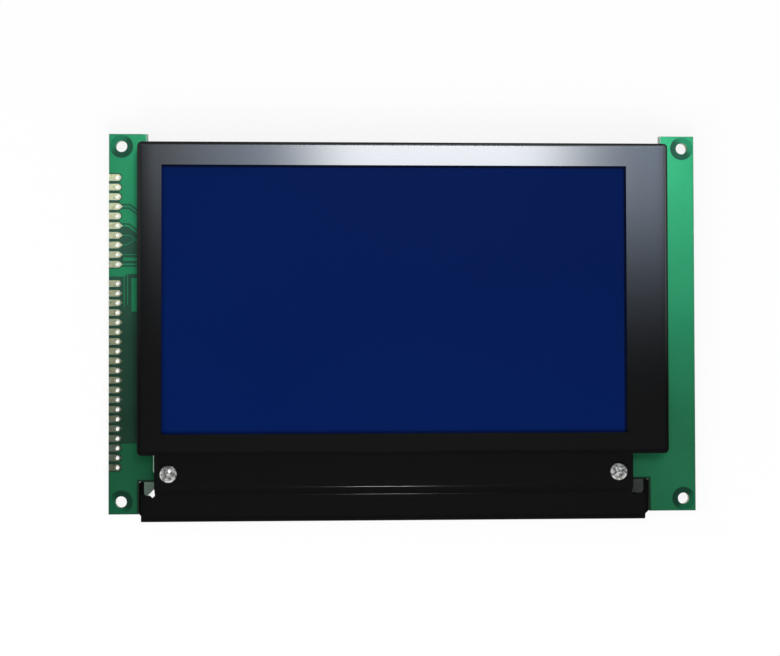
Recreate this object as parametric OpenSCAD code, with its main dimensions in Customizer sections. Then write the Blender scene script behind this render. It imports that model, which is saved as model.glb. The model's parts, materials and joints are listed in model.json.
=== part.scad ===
// Edge-lit graphic display module: a circuit board that carries a bezelled
// liquid-crystal glass, its backlight and a screwed-on lamp housing.
// X runs along the display's rows, Y up its columns and Z out of its face.
// The origin is the middle of the four mounting holes, on the board's back.
// The sizes run outwards from the viewing window to the bezel and the board.

/* [Viewing window] */
// Width of the window in the bezel
window_w = 121.4; // [100:0.1:140]
// Height of the window in the bezel
window_h = 69.9; // [60:0.1:80]

/* [Bezel] */
// Width of the bezel's left bar
bar_left = 6.4; // [5.5:0.1:9]
// Width of the bezel's right bar
bar_right = 11.2; // [9:0.1:14]
// Width of the bezel's top bar
bar_top = 6.15; // [5.5:0.05:9]
// Width of the bezel's bottom bar
bar_bottom = 5.55; // [4.5:0.05:8]
// Thickness of the bezel sheet
bezel_t = 0.6; // [0.4:0.1:0.8]
// Outer radius of the bezel's folds and corners
bezel_r = 1.2; // [1:0.1:1.6]
// Width of a fold-over tab
tab_w = 4; // [3:0.5:5]
// Length of a tab that lies on the back of the board
tab_foot = 1.8; // [1.2:0.1:2.4]
// Distance of the end tabs from the bezel's corners
tab_inset = 12; // [9:0.5:16]
// Room between a tab and its slot
slot_play = 0.3; // [0.2:0.05:0.5]

/* [Circuit board] */
// Board left of the bezel
rim_left = 8; // [7:0.1:12]
// Board right of the bezel
rim_right = 8.5; // [7:0.1:12]
// Height of the ears above the bezel
rim_top = 2.75; // [2:0.05:5]
// Board below the bezel
rim_bottom = 15.65; // [14:0.05:20]
// Thickness of the board
board_t = 1.6; // [1.2:0.1:2.4]
// Distance of the mounting holes from the board's edges
mount_inset = 3.25; // [2.75:0.05:4]
// Diameter of the mounting holes
mount_hole_d = 3; // [2.5:0.1:3.4]
// Width of the left ear
ear_left_w = 10.1; // [9:0.1:14]
// Width of the right ear
ear_right_w = 9.3; // [9:0.1:14]
// Depth of the cut-out for the lamp housing
notch_depth = 8.6; // [7.5:0.1:10]
// Board left of the cut-out
notch_left = 7.8; // [7:0.1:9]
// Board right of the cut-out
notch_right = 12.5; // [9:0.1:13]
// Radius of the cut-out's inner corners, and cut at the corners of the housing's lip
notch_r = 0.7; // [0.5:0.1:2]

/* [Terminal pads] */
// Pitch of the pads
pad_pitch = 2.54; // [2:0.01:3]
// Number of pads in the upper group
upper_count = 10; // [6:1:14]
// Distance of the first pad from the board's top edge
pad_start = 11.5; // [9:0.1:14]
// Least distance of the last pad from the board's bottom edge
pad_end = 11.8; // [9:0.1:14]
// Height of a pad along the board's edge
pad_h = 1.75; // [1.4:0.05:1.9]
// Distance of the pad holes from the board's left edge
pad_hole_inset = 2.3; // [2:0.05:2.8]
// Diameter of the open hole in a pad
pad_hole_d = 1; // [0.8:0.05:1.1]
// Length of the point on a pad that a track leaves
pad_point = 0.45; // [0.2:0.05:0.8]
// Thickness of the plating
plating_t = 0.08; // [0.04:0.01:0.12]

/* [Display glass] */
// Thickness of each glass
glass_t = 1.1; // [0.7:0.1:1.5]
// Thickness of each polarizer film
film_t = 0.2; // [0.1:0.05:0.3]
// Polarizer hidden under the bezel
film_lap = 1.5; // [1:0.1:2.5]
// Glass below the window
glass_lap = 2.7; // [2:0.1:3]
// Room between the glass and the bezel's walls
glass_play = 0.6; // [0.4:0.1:1]
// Width of the contact ledge at the right
ledge_right = 3.4; // [2.4:0.1:4]
// Width of the contact ledge at the top
ledge_top = 2.6; // [2:0.1:2.8]
// Room beside a contact strip on its ledge
strip_play = 0.4; // [0.2:0.05:0.6]

/* [Backlight] */
// Thickness of the light guide
guide_t = 3.5; // [2.5:0.1:4.5]
// Light guide beyond the window
guide_lap = 1; // [0.6:0.1:1.2]
// Thickness of the reflector sheet
reflector_t = 0.2; // [0.1:0.05:0.3]
// Thickness of the diffuser sheet
diffuser_t = 0.3; // [0.1:0.05:0.5]
// Wall of the backlight frame
frame_wall = 1.1; // [0.8:0.1:1.2]
// Room around the light guide
guide_play = 0.1; // [0.05:0.05:0.2]
// Length of the frame's feet in the cut-out
foot_len = 3.55; // [2.5:0.05:3.8]
// Reach of the left foot beyond the flange
foot_left = 3.25; // [3:0.05:4]
// Reach of the right foot beyond the flange
foot_right = 4; // [3:0.05:4.5]
// Corner of the left foot that is cut back for a lead
lead_cut = 2.3; // [1.6:0.1:2.4]
// Thickness of the feet
foot_t = 1; // [0.6:0.1:1.1]
// Corner radius of the feet
foot_r = 0.8; // [0.4:0.1:1]
// Wall of the screw bosses
boss_wall = 1.5; // [1.2:0.1:2]
// Room between the frame's legs and the cut-out
leg_play = 0.15; // [0.1:0.05:0.3]

/* [Lamp] */
// Pitch of the light-emitting diodes
led_pitch = 8; // [6:0.5:12]
// Width of a diode
led_w = 3.2; // [2.4:0.1:4]
// Height of a diode
led_h = 2.8; // [2:0.1:3.2]
// Depth of a diode
led_d = 1.2; // [0.8:0.1:1.6]
// Diameter of a diode's bright dish
led_dish_d = 2.2; // [1.4:0.1:2.4]
// Depth of a diode's bright dish
led_dish_depth = 0.4; // [0.2:0.1:0.7]
// Thickness of the diode board
led_board_t = 0.8; // [0.6:0.1:1.2]
// Room between the diodes and the light guide
led_play = 0.3; // [0.2:0.1:0.6]

/* [Lamp housing] */
// Thickness of the housing sheet
housing_t = 0.5; // [0.4:0.05:0.6]
// Inner radius of the housing's bends
housing_r = 0.4; // [0.2:0.05:0.5]
// Slope of the step between flange and channel
step_angle = 50; // [30:1:70]
// Flange past the edge of the cut-out
flange_past = 1; // [0.4:0.1:1.6]
// Backlight frame that shows as a ledge at the flange's left side
frame_show = 0.3; // [0.2:0.05:0.6]
// Length of that ledge below the bezel
ledge_len = 4.25; // [2:0.05:5]
// Backlight frame cut back to the flange's right side
frame_trim = 0.6; // [0.2:0.05:0.8]
// Channel past the board's bottom edge
channel_past = 1.7; // [1:0.1:3]
// Channel beyond each side of the flange
channel_extra = 3.6; // [2.4:0.1:4.2]
// Room between flange and bezel
flange_play = 0.1; // [0.05:0.05:0.2]
// Room inside the channel above the light guide
channel_play = 0.2; // [0.1:0.05:0.4]
// Room between the housing's lip and the cut-out
lip_play = 0.05; // [0.03:0.01:0.3]
// Depth of the bend reliefs
relief = 0.65; // [0.4:0.05:0.8]

/* [Housing screws] */
// Distance of the left screw from the flange's left side
screw_left = 3.65; // [3.2:0.05:5]
// Distance of the right screw from the flange's right side
screw_right = 3.9; // [3.2:0.05:5]
// Distance of the screws from the edge of the cut-out
screw_inset = 2.3; // [1.5:0.1:3.5]
// Diameter of a screw's head
screw_head_d = 4.3; // [3.8:0.1:4.8]
// Height of a screw's head
screw_head_h = 1.5; // [1.2:0.1:1.8]
// Height of the straight rim of a screw's head
screw_rim_h = 0.6; // [0.3:0.1:0.8]
// Width of the arms of the cross recess
recess_w = 0.7; // [0.5:0.05:0.9]
// Length of the cross recess
recess_len = 2.6; // [2:0.1:3]
// Turn of the cross recess
recess_turn = 20; // [0:5:90]
// Diameter of a screw's shank
screw_d = 2.2; // [1.8:0.1:2.4]
// Length of a screw under its head
screw_len = 5.5; // [4:0.5:6]
// Room between a screw and its holes
screw_play = 0.05; // [0.02:0.01:0.1]

/* [Chips on the back] */
// Height of the epoxy blobs
blob_h = 2; // [1.8:0.1:2.4]
// Radius of a column driver's blob
column_blob_r = 9; // [6:0.5:11]
// Radius of a row driver's blob
row_blob_r = 7; // [5:0.5:9]
// Radius of the controller's blob
controller_blob_r = 10; // [7:0.5:12]
// Column drivers below the window's top
column_drop = 14; // [12:0.5:18]
// Row drivers inside the window's right side
row_inset = 6.5; // [5:0.5:9]
// Lower row driver above the window's bottom
row_rise = 8; // [7:0.5:10]
// Distance between the row drivers
row_pitch = 20; // [18:0.5:22]
// Controller inside the window's left side
controller_inset = 20; // [14:0.5:22]
// Controller, memory and amplifier above the window's bottom
chip_rise = 13; // [11:0.5:15]
// Memory from the controller
memory_gap = 27; // [25:0.5:30]
// Amplifier from the memory
amplifier_gap = 34; // [30:0.5:36]
// Thickness of a chip's lead
lead_t = 0.15; // [0.1:0.01:0.18]
// Room between a leaded body and the board
standoff = 0.1; // [0.05:0.05:0.2]

/* [Memory chip] */
// Length of the body, from leads to leads
memory_len = 11.8; // [10:0.1:13]
// Width of the body
memory_w = 8; // [7:0.1:9]
// Height of the body
memory_h = 1; // [0.9:0.05:1.4]
// Reach of the leads from the middle
memory_reach = 6.7; // [6.6:0.1:7.4]
// Number of leads on each side
memory_leads = 14; // [8:1:14]
// Pitch of the leads
memory_pitch = 0.55; // [0.5:0.01:0.58]
// Width of a lead
memory_lead_w = 0.22; // [0.15:0.01:0.3]

/* [Bias amplifier] */
// Length of the body, from leads to leads
amplifier_len = 3.9; // [3.4:0.1:4.4]
// Width of the body
amplifier_w = 8.65; // [8.3:0.05:9.5]
// Height of the body
amplifier_h = 1.4; // [1.2:0.05:1.6]
// Reach of the leads from the middle
amplifier_reach = 3; // [2.8:0.1:3.4]
// Number of leads on each side
amplifier_leads = 7; // [4:1:7]
// Pitch of the leads
amplifier_pitch = 1.27; // [1:0.01:1.3]
// Width of a lead
amplifier_lead_w = 0.41; // [0.3:0.01:0.5]

/* [Resistors and capacitors] */
// Length of a chip resistor or capacitor
chip_len = 2; // [1.6:0.1:3]
// Width of a chip resistor or capacitor
chip_w = 1.25; // [0.8:0.05:1.6]
// Length of a chip's metal end
chip_cap = 0.4; // [0.2:0.05:0.6]
// Thickness of a chip's metal end over its body
chip_skin = 0.04; // [0.02:0.01:0.08]
// Room between neighbours in a row
chip_gap = 2.4; // [1:0.1:3]
// Number of chip resistors
resistor_count = 10; // [4:1:12]
// Height of a chip resistor
resistor_h = 0.5; // [0.4:0.05:0.7]
// Number of chip capacitors
capacitor_count = 8; // [4:1:10]
// Height of a chip capacitor
capacitor_h = 1; // [0.6:0.05:1.2]
// Resistors above the window's bottom
resistor_rise = 24; // [21:0.5:28]
// Capacitors above the resistors
capacitor_rise = 7; // [5:0.5:10]

/* [Hidden] */
$fn = 64;
blob_fn = 240;
// Overrun of a cut past the solid that it opens
cut = 1;

// Outlines of the window, the bezel and the board
bezel_w = bar_left + window_w + bar_right;
bezel_h = bar_bottom + window_h + bar_top;
board_w = rim_left + bezel_w + rim_right;
board_h = rim_bottom + bezel_h + rim_top;
board_x0 = -board_w / 2;
board_x1 = board_w / 2;
board_y0 = -board_h / 2;
board_y1 = board_h / 2;
bezel_x0 = board_x0 + rim_left;
bezel_x1 = bezel_x0 + bezel_w;
bezel_y0 = board_y0 + rim_bottom;
bezel_y1 = bezel_y0 + bezel_h;
window_x0 = bezel_x0 + bar_left;
window_x1 = window_x0 + window_w;
window_y0 = bezel_y0 + bar_bottom;
window_y1 = window_y0 + window_h;
optic_x = (window_x0 + window_x1) / 2;

// Levels of the stack, from the board's front to the bezel's face
guide_z0 = board_t + reflector_t;
guide_z1 = guide_z0 + guide_t;
diffuser_z1 = guide_z1 + diffuser_t;
rear_glass_z0 = diffuser_z1 + film_t;
front_glass_z0 = rear_glass_z0 + glass_t;
front_film_z0 = front_glass_z0 + glass_t;
bezel_z0 = front_film_z0 + film_t;
bezel_z1 = bezel_z0 + bezel_t;

// Glass outlines: the front glass overhangs the rear one at its ledges
glass_x0 = bezel_x0 + bezel_t + glass_play;
glass_x1 = bezel_x1 - bezel_t - glass_play;
glass_y0 = window_y0 - glass_lap;
glass_y1 = bezel_y1 - bezel_t - glass_play;
rear_glass_x1 = glass_x1 - ledge_right;
rear_glass_y1 = glass_y1 - ledge_top;

// Board features
recess_y = bezel_y1 - bezel_t - slot_play;
recess_x0 = board_x0 + ear_left_w;
recess_x1 = board_x1 - ear_right_w;
notch_x0 = board_x0 + notch_left;
notch_x1 = board_x1 - notch_right;
notch_y = board_y0 + notch_depth;
mount_x = board_w / 2 - mount_inset;
mount_y = board_h / 2 - mount_inset;
side_tab_count = 3;
top_tab_count = 4;
side_tab_step = (bezel_h - 2 * tab_inset) / (side_tab_count - 1);
top_tab_step = (bezel_w - 2 * tab_inset) / (top_tab_count - 1);
side_tabs = [for (i = [0 : side_tab_count - 1]) bezel_y0 + tab_inset + i * side_tab_step];
top_tabs = [for (i = [0 : top_tab_count - 1]) bezel_x0 + tab_inset + i * top_tab_step];

// Pads: one place on the grid stays empty between the groups
pad_places = floor((board_h - pad_start - pad_end) / pad_pitch) + 1;
pad_x = board_x0 + pad_hole_inset;
pad_y = board_y1 - pad_start;
barrel_d = pad_hole_d + 2 * plating_t;
// Pads that no track leaves on the front end round, the others end in a point
round_pads = [0, 1, 2, 4, 11];

// Backlight frame and light guide
guide_x0 = window_x0 - guide_lap;
guide_x1 = window_x1 + guide_lap;
guide_y1 = window_y1 + guide_lap;
frame_x0 = guide_x0 - guide_play - frame_wall;
frame_x1 = guide_x1 + guide_play + frame_wall;
frame_y1 = guide_y1 + guide_play + frame_wall;
bridge_y1 = glass_y0 - guide_play;

// Lamp housing
flange_x0 = frame_x0 + frame_show;
flange_x1 = frame_x1 - frame_trim;
flange_y1 = bridge_y1 - guide_play;
flange_y0 = notch_y - flange_past;
flange_z1 = bezel_z0 - flange_play;
channel_x0 = flange_x0 - channel_extra;
channel_x1 = flange_x1 + channel_extra;
channel_y0 = board_y0 - channel_past;
channel_z1 = guide_z1 + channel_play + housing_t;
bend_r = housing_r + housing_t;
step_drop = flange_z1 - channel_z1;
step_run = (step_drop - (1 - cos(step_angle)) * (housing_r + bend_r)) / sin(step_angle);
channel_y1 = flange_y0 - sin(step_angle) * (housing_r + bend_r) - cos(step_angle) * step_run;
lip_x0 = notch_x0 + lip_play;
lip_x1 = notch_x1 - lip_play;
lip_y1 = notch_y - lip_play;
// Least cut at the lip's upper corners that clears the round corners of the cut-out
lip_corner = notch_r - sqrt(lip_play * (2 * notch_r - lip_play));
housing_path = [
    [flange_y1 - flange_y0, -step_angle],
    [step_run, step_angle],
    [channel_y1 - channel_y0 - bend_r, -90],
    [channel_z1 - 2 * bend_r, -90],
    [lip_y1 - channel_y0 - bend_r, 0]
];

// Screws, the bosses that take them and the legs below the bosses
screw_x0 = flange_x0 + screw_left;
screw_x1 = flange_x1 - screw_right;
screw_y = notch_y + screw_inset;
boss_half = screw_d / 2 + boss_wall;
neck_x0 = screw_x0 + boss_half + guide_play;
neck_x1 = screw_x1 - boss_half - guide_play;
boss_z1 = flange_z1 - housing_t;
boss_y0 = flange_y0 + leg_play;
boss_hole_z0 = flange_z1 - screw_len - screw_play;
ledge_y0 = bezel_y0 - ledge_len;
leg_y1 = notch_y - leg_play;
leg_y0 = channel_y1 - relief;
foot_x0 = flange_x0 - foot_left;
foot_x1 = flange_x1 + foot_right;
outlet_y0 = leg_y0 - relief;
outlet_y1 = leg_y1 - foot_r;

// Lamp inside the channel
led_board_y = channel_y0 + housing_t;
led_y0 = led_board_y + led_board_t;
led_y1 = led_y0 + led_d;
guide_y0 = led_y1 + led_play;
led_z = (guide_z0 + guide_z1) / 2;
led_span = neck_x1 - neck_x0 - led_w;
led_count = floor(led_span / led_pitch) + 1;
led_x0 = (neck_x0 + neck_x1 - (led_count - 1) * led_pitch) / 2;

// Places of the chips on the back
column_count = 3;
column_x = [for (i = [0 : column_count - 1]) window_x0 + window_w * (i + 0.5) / column_count];
column_y = window_y1 - column_drop;
row_x = window_x1 - row_inset;
row_y = window_y0 + row_rise;
controller_x = window_x0 + controller_inset;
chip_y = window_y0 + chip_rise;
memory_x = controller_x + memory_gap;
amplifier_x = memory_x + amplifier_gap;
resistor_y = window_y0 + resistor_rise;
capacitor_y = resistor_y + capacitor_rise;

// A flat plate between two corners
module plate(x0, y0, x1, y1, z0, z1) {
    translate([x0, y0, z0]) cube([x1 - x0, y1 - y0, z1 - z0]);
}

// A rectangle with round corners
module rounded_area(x0, y0, x1, y1, r) {
    translate([x0 + r, y0]) square([x1 - x0 - 2 * r, y1 - y0]);
    translate([x0, y0 + r]) square([x1 - x0, y1 - y0 - 2 * r]);
    for (x = [x0 + r, x1 - r], y = [y0 + r, y1 - r]) translate([x, y]) circle(r);
}

// A block whose upright corners and upper edges share one radius
module crowned_block(x0, y0, x1, y1, z0, z1, r) {
    translate([0, 0, z0]) linear_extrude(z1 - r - z0) rounded_area(x0, y0, x1, y1, r);
    plate(x0 + r, y0 + r, x1 - r, y1 - r, z0, z1);
    for (y = [y0 + r, y1 - r])
        translate([x0 + r, y, z1 - r]) rotate([0, 90, 0]) cylinder(r = r, h = x1 - x0 - 2 * r);
    for (x = [x0 + r, x1 - r])
        translate([x, y0 + r, z1 - r]) rotate([-90, 0, 0]) cylinder(r = r, h = y1 - y0 - 2 * r);
    for (x = [x0 + r, x1 - r], y = [y0 + r, y1 - r]) translate([x, y, z1 - r]) sphere(r);
}

// One bend of a sheet, about the origin: a ring between the end of one run and the start of the next
module bend(turn, thick, radius) {
    past = 2 * (radius + thick);
    intersection() {
        difference() {
            circle(radius + thick);
            circle(radius);
        }
        translate([0, -past]) square([past, 2 * past]);
        rotate(turn) translate([-past, -past]) square([past, 2 * past]);
    }
}

// Section of a folded sheet: runs of flat sheet, each with the turn that follows it
module folded(path, thick, radius, step = 0) {
    run = path[step][0];
    turn = path[step][1];
    pivot = turn > 0 ? radius : -thick - radius;
    translate([0, -thick]) square([run, thick]);
    if (turn != 0)
        translate([run, pivot]) {
            bend(turn, thick, radius);
            rotate(turn) translate([0, -pivot]) folded(path, thick, radius, step + 1);
        }
}

// The folded section, standing across X from x0 to x1 and running towards -Y
module folded_sheet(path, thick, radius, x0, x1, y, z) {
    translate([x0, y, z]) rotate([90, 0, 90]) linear_extrude(x1 - x0)
        mirror([1, 0]) folded(path, thick, radius);
}

// The board with its ears, cut-out, mounting holes, pad holes and tab slots
module board_outline() {
    slot_w = bezel_t + slot_play;
    difference() {
        translate([board_x0, board_y0]) square([board_w, board_h]);
        translate([recess_x0, recess_y]) square([recess_x1 - recess_x0, board_h]);
        rounded_area(notch_x0, board_y0 - notch_depth, notch_x1, notch_y, notch_r);
        for (x = [-mount_x, mount_x], y = [-mount_y, mount_y]) translate([x, y]) circle(d = mount_hole_d);
        for (i = [0 : pad_places - 1]) if (i != upper_count)
            translate([pad_x, pad_y - i * pad_pitch]) circle(d = barrel_d);
        for (x = [bezel_x0, bezel_x1 - slot_w], y = side_tabs)
            translate([x, y - tab_w / 2 - slot_play]) square([slot_w, tab_w + 2 * slot_play]);
    }
}

module main_board() {
    color([0.16, 0.52, 0.36]) linear_extrude(board_t) board_outline();
}

// The point of a pad, tangent to its round end
module pad_tip() {
    round_r = pad_h / 2;
    tip_x = round_r + pad_point;
    tangent = acos(round_r / tip_x);
    touch_x = round_r * cos(tangent);
    touch_y = round_r * sin(tangent);
    polygon([[0, 0], [touch_x, -touch_y], [tip_x, 0], [touch_x, touch_y]]);
}

// A plated land from the board's edge round its hole
module pad_land(pointed) {
    difference() {
        union() {
            circle(d = pad_h);
            translate([-pad_hole_inset, -pad_h / 2]) square([pad_hole_inset, pad_h]);
            if (pointed) pad_tip();
        }
        circle(d = pad_hole_d);
    }
}

// A pad: a land on each side of the board and the barrel that joins them
module terminal_pad(pointed) {
    translate([0, 0, board_t]) linear_extrude(plating_t) pad_land(pointed);
    translate([0, 0, -plating_t]) linear_extrude(plating_t) pad_land(false);
    linear_extrude(board_t) difference() {
        circle(d = barrel_d);
        circle(d = pad_hole_d);
    }
}

module pad_group(first, last) {
    color([0.85, 0.82, 0.7]) for (i = [first : last])
        translate([pad_x, pad_y - i * pad_pitch]) terminal_pad(len(search(i, round_pads)) == 0);
}

module upper_terminal_pads() {
    pad_group(0, upper_count - 1);
}

module lower_terminal_pads() {
    pad_group(upper_count + 1, pad_places - 1);
}

// A tab that goes down past the board at y = 0 and lies on its back, towards -Y
module bezel_tab() {
    path = [[board_t - slot_play, -90], [tab_foot, 0]];
    translate([-tab_w / 2, 0, board_t]) rotate([90, 0, 90]) linear_extrude(tab_w)
        rotate(-90) folded(path, bezel_t, slot_play);
}

// The bezel's top wall reaches down into the recess between the ears
module bezel_skirt() {
    plate(recess_x0 + slot_play, bezel_y1 - bezel_t, recess_x1 - slot_play, bezel_y1, 0, board_t);
}

module bezel_tabs() {
    for (x = top_tabs) translate([x, bezel_y1, 0]) bezel_tab();
    for (y = side_tabs) {
        translate([bezel_x0, y, 0]) rotate(90) bezel_tab();
        translate([bezel_x1, y, 0]) rotate(-90) bezel_tab();
    }
}

module bezel() {
    color([0.07, 0.07, 0.08]) {
        difference() {
            crowned_block(bezel_x0, bezel_y0, bezel_x1, bezel_y1, board_t, bezel_z1, bezel_r);
            crowned_block(bezel_x0 + bezel_t, bezel_y0 + bezel_t, bezel_x1 - bezel_t, bezel_y1 - bezel_t,
                board_t - cut, bezel_z0, bezel_r - bezel_t);
            plate(window_x0, window_y0, window_x1, window_y1, board_t, bezel_z1 + cut);
            plate(frame_x0 - slot_play, bezel_y0 - cut, flange_x1 + slot_play, bezel_y0 + bezel_r,
                board_t - cut, bezel_z0);
        }
        bezel_skirt();
        bezel_tabs();
    }
}

module front_polarizer() {
    color([0.03, 0.1, 0.33])
        plate(window_x0 - film_lap, window_y0 - film_lap, window_x1 + film_lap, window_y1 + film_lap,
            front_film_z0, bezel_z0);
}

module front_glass() {
    color([0.75, 0.82, 0.85]) plate(glass_x0, glass_y0, glass_x1, glass_y1, front_glass_z0, front_film_z0);
}

module rear_glass() {
    color([0.75, 0.82, 0.85])
        plate(glass_x0, glass_y0, rear_glass_x1, rear_glass_y1, rear_glass_z0, front_glass_z0);
}

module rear_polarizer() {
    color([0.3, 0.32, 0.36]) plate(guide_x0, glass_y0, guide_x1, guide_y1, diffuser_z1, rear_glass_z0);
}

module column_contact_strip() {
    color([0.85, 0.6, 0.65])
        plate(guide_x0, rear_glass_y1 + strip_play, guide_x1, glass_y1 - strip_play, board_t, front_glass_z0);
}

module row_contact_strip() {
    color([0.85, 0.6, 0.65])
        plate(rear_glass_x1 + strip_play, window_y0, glass_x1 - strip_play, window_y1,
            board_t, front_glass_z0);
}

module diffuser_sheet() {
    color([0.93, 0.94, 0.95]) plate(guide_x0, glass_y0, guide_x1, guide_y1, guide_z1, diffuser_z1);
}

// The guide's broad part under the window and its neck between the bosses
module guide_outline() {
    translate([guide_x0, glass_y0]) square([guide_x1 - guide_x0, guide_y1 - glass_y0]);
    translate([neck_x0, guide_y0]) square([neck_x1 - neck_x0, glass_y0 - guide_y0 + cut]);
}

module light_guide() {
    color([0.9, 0.95, 0.97]) translate([0, 0, guide_z0]) linear_extrude(guide_t) guide_outline();
}

module reflector_sheet() {
    color([0.96, 0.96, 0.96]) translate([0, 0, board_t]) linear_extrude(reflector_t) guide_outline();
}

// Outline of a foot beside a leg; its inner corner is cut back where a lead passes
module foot_outline(x0, x1, lead_passes) {
    corner_cut = lead_cut + foot_r;
    difference() {
        rounded_area(x0, leg_y1 - foot_len, x1, leg_y1 + foot_len, foot_r);
        translate([x0 - cut, leg_y1]) square([x1 - x0 + 2 * cut, foot_len + cut]);
        if (lead_passes)
            translate([x1, leg_y1 - foot_len]) rotate(45) square(corner_cut * sqrt(2), center = true);
    }
}

module frame_walls() {
    room_w = guide_x1 - guide_x0 + 2 * guide_play;
    room_y0 = bridge_y1 - 2 * frame_wall;
    translate([0, 0, board_t]) linear_extrude(rear_glass_z0 - board_t) difference() {
        rounded_area(frame_x0, bridge_y1 - frame_wall, frame_x1, frame_y1, frame_wall);
        translate([guide_x0 - guide_play, room_y0]) square([room_w, guide_y1 + guide_play - room_y0]);
    }
}

// One end of the frame below the window: a screw boss, its leg and a foot
module frame_end(outer_x, inner_x, foot_x, lead_passes) {
    x0 = min(outer_x, inner_x);
    x1 = max(outer_x, inner_x);
    plate(x0, boss_y0, x1, bridge_y1, board_t, boss_z1);
    plate(x0, leg_y0, x1, leg_y1, housing_t, guide_z1);
    translate([0, 0, housing_t]) linear_extrude(foot_t)
        if (foot_x < outer_x) foot_outline(foot_x, outer_x + foot_r, lead_passes);
        else mirror([1, 0]) foot_outline(-foot_x, foot_r - outer_x, lead_passes);
}

module backlight_frame() {
    color([0.93, 0.93, 0.9]) difference() {
        union() {
            frame_walls();
            frame_end(flange_x0, neck_x0 - guide_play, foot_x0, true);
            frame_end(flange_x1, neck_x1 + guide_play, foot_x1, false);
            plate(frame_x0, ledge_y0, neck_x0 - guide_play, bridge_y1, board_t, boss_z1);
            plate(flange_x0, boss_y0, flange_x1, bridge_y1, guide_z1 + guide_play, boss_z1);
            plate(neck_x0 - cut, leg_y0, neck_x1 + cut, leg_y1, housing_t, board_t);
        }
        for (x = [screw_x0, screw_x1]) translate([x, screw_y, boss_hole_z0])
            cylinder(d = screw_d + 2 * screw_play, h = boss_z1);
    }
}

module led_strip_board() {
    color([0.9, 0.9, 0.86])
        plate(neck_x0, led_board_y, neck_x1, led_y0, bend_r, channel_z1 - bend_r);
}

// One diode with a dished face towards the light guide
module lamp_led() {
    difference() {
        translate([-led_w / 2, 0, -led_h / 2]) cube([led_w, led_d, led_h]);
        translate([0, led_d - led_dish_depth, 0]) rotate([-90, 0, 0])
            cylinder(d1 = led_dish_d - led_dish_depth, d2 = led_dish_d, h = led_dish_depth);
    }
}

module lamp_leds() {
    color([0.96, 0.92, 0.6])
        for (i = [0 : led_count - 1]) translate([led_x0 + i * led_pitch, led_y0, led_z]) lamp_led();
}

// A corner of the lip, cut off at 45 degrees; side and way point outwards along X and Y
module lip_corner_cut(x, y, side, way, size) {
    reach = size + cut;
    translate([x + side * cut, y, -cut]) linear_extrude(housing_t + 2 * cut)
        polygon([[0, 0], [-side * reach, 0], [0, -way * reach]]);
}

// What is cut from the blank at one end: flange side, channel end, bend relief, lip corners
module housing_end_cut(lip_x, channel_x, flange_x) {
    side = sign(lip_x - optic_x);
    out_x = lip_x + side * cut;
    lip_y0 = channel_y0 + bend_r;
    top = bezel_z1 + cut;
    mid = channel_z1 / 2;
    plate(min(out_x, flange_x), channel_y1, max(out_x, flange_x), flange_y1 + cut, mid, top);
    plate(min(out_x, channel_x), channel_y0 - cut, max(out_x, channel_x), channel_y1 + cut, housing_t, top);
    plate(min(out_x, channel_x), channel_y0 - cut, max(out_x, channel_x), lip_y0, -cut, top);
    translate([0, 0, mid]) linear_extrude(top - mid)
        polygon([[flange_x + side * 2 * relief, channel_y1], [flange_x + side * relief, leg_y0],
            [flange_x, channel_y1]]);
    lip_corner_cut(lip_x, lip_y0, side, -1, notch_r);
    lip_corner_cut(lip_x, lip_y1, side, 1, lip_corner);
}

module lamp_housing() {
    color([0.06, 0.06, 0.065]) difference() {
        folded_sheet(housing_path, housing_t, housing_r, lip_x0, lip_x1, flange_y1, flange_z1);
        housing_end_cut(lip_x0, channel_x0, flange_x0);
        housing_end_cut(lip_x1, channel_x1, flange_x1);
        for (x = [screw_x0, screw_x1]) translate([x, screw_y, boss_z1 - cut])
            cylinder(d = screw_d + 4 * screw_play, h = housing_t + 2 * cut);
        plate(foot_x0 + foot_r, outlet_y0, flange_x0, outlet_y1, -cut, housing_t + cut);
    }
}

// A pan-head screw with a cross recess, its head standing on z = 0
module pan_screw() {
    crown_h = screw_head_h - screw_rim_h;
    crown_r = (pow(screw_head_d / 2, 2) + pow(crown_h, 2)) / (2 * crown_h);
    point_h = screw_d / 2;
    difference() {
        union() {
            cylinder(d = screw_head_d, h = screw_rim_h);
            intersection() {
                translate([0, 0, screw_head_h - crown_r]) sphere(crown_r);
                translate([0, 0, screw_rim_h]) cylinder(d = screw_head_d, h = crown_h);
            }
        }
        for (turn = [recess_turn, recess_turn + 90]) rotate(turn)
            plate(-recess_len / 2, -recess_w / 2, recess_len / 2, recess_w / 2,
                screw_rim_h, screw_head_h + cut);
    }
    translate([0, 0, point_h - screw_len]) cylinder(d = screw_d, h = screw_len - point_h);
    translate([0, 0, -screw_len]) cylinder(d1 = screw_d - point_h, d2 = screw_d, h = point_h);
}

module lamp_housing_screws() {
    color([0.78, 0.78, 0.78])
        for (x = [screw_x0, screw_x1]) translate([x, screw_y, flange_z1]) pan_screw();
}

// A cap of epoxy over a bare chip on the board's back
module epoxy_blob(x, y, r) {
    ball_r = (pow(r, 2) + pow(blob_h, 2)) / (2 * blob_h);
    color([0.05, 0.05, 0.055]) translate([x, y]) intersection() {
        translate([0, 0, ball_r - blob_h]) sphere(ball_r, $fn = blob_fn);
        translate([-r, -r, -blob_h]) cube([2 * r, 2 * r, blob_h]);
    }
}

module column_driver_left() {
    epoxy_blob(column_x[0], column_y, column_blob_r);
}

module column_driver_middle() {
    epoxy_blob(column_x[1], column_y, column_blob_r);
}

module column_driver_right() {
    epoxy_blob(column_x[2], column_y, column_blob_r);
}

module row_driver_upper() {
    epoxy_blob(row_x, row_y + row_pitch, row_blob_r);
}

module row_driver_lower() {
    epoxy_blob(row_x, row_y, row_blob_r);
}

module display_controller() {
    epoxy_blob(controller_x, chip_y, controller_blob_r);
}

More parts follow.
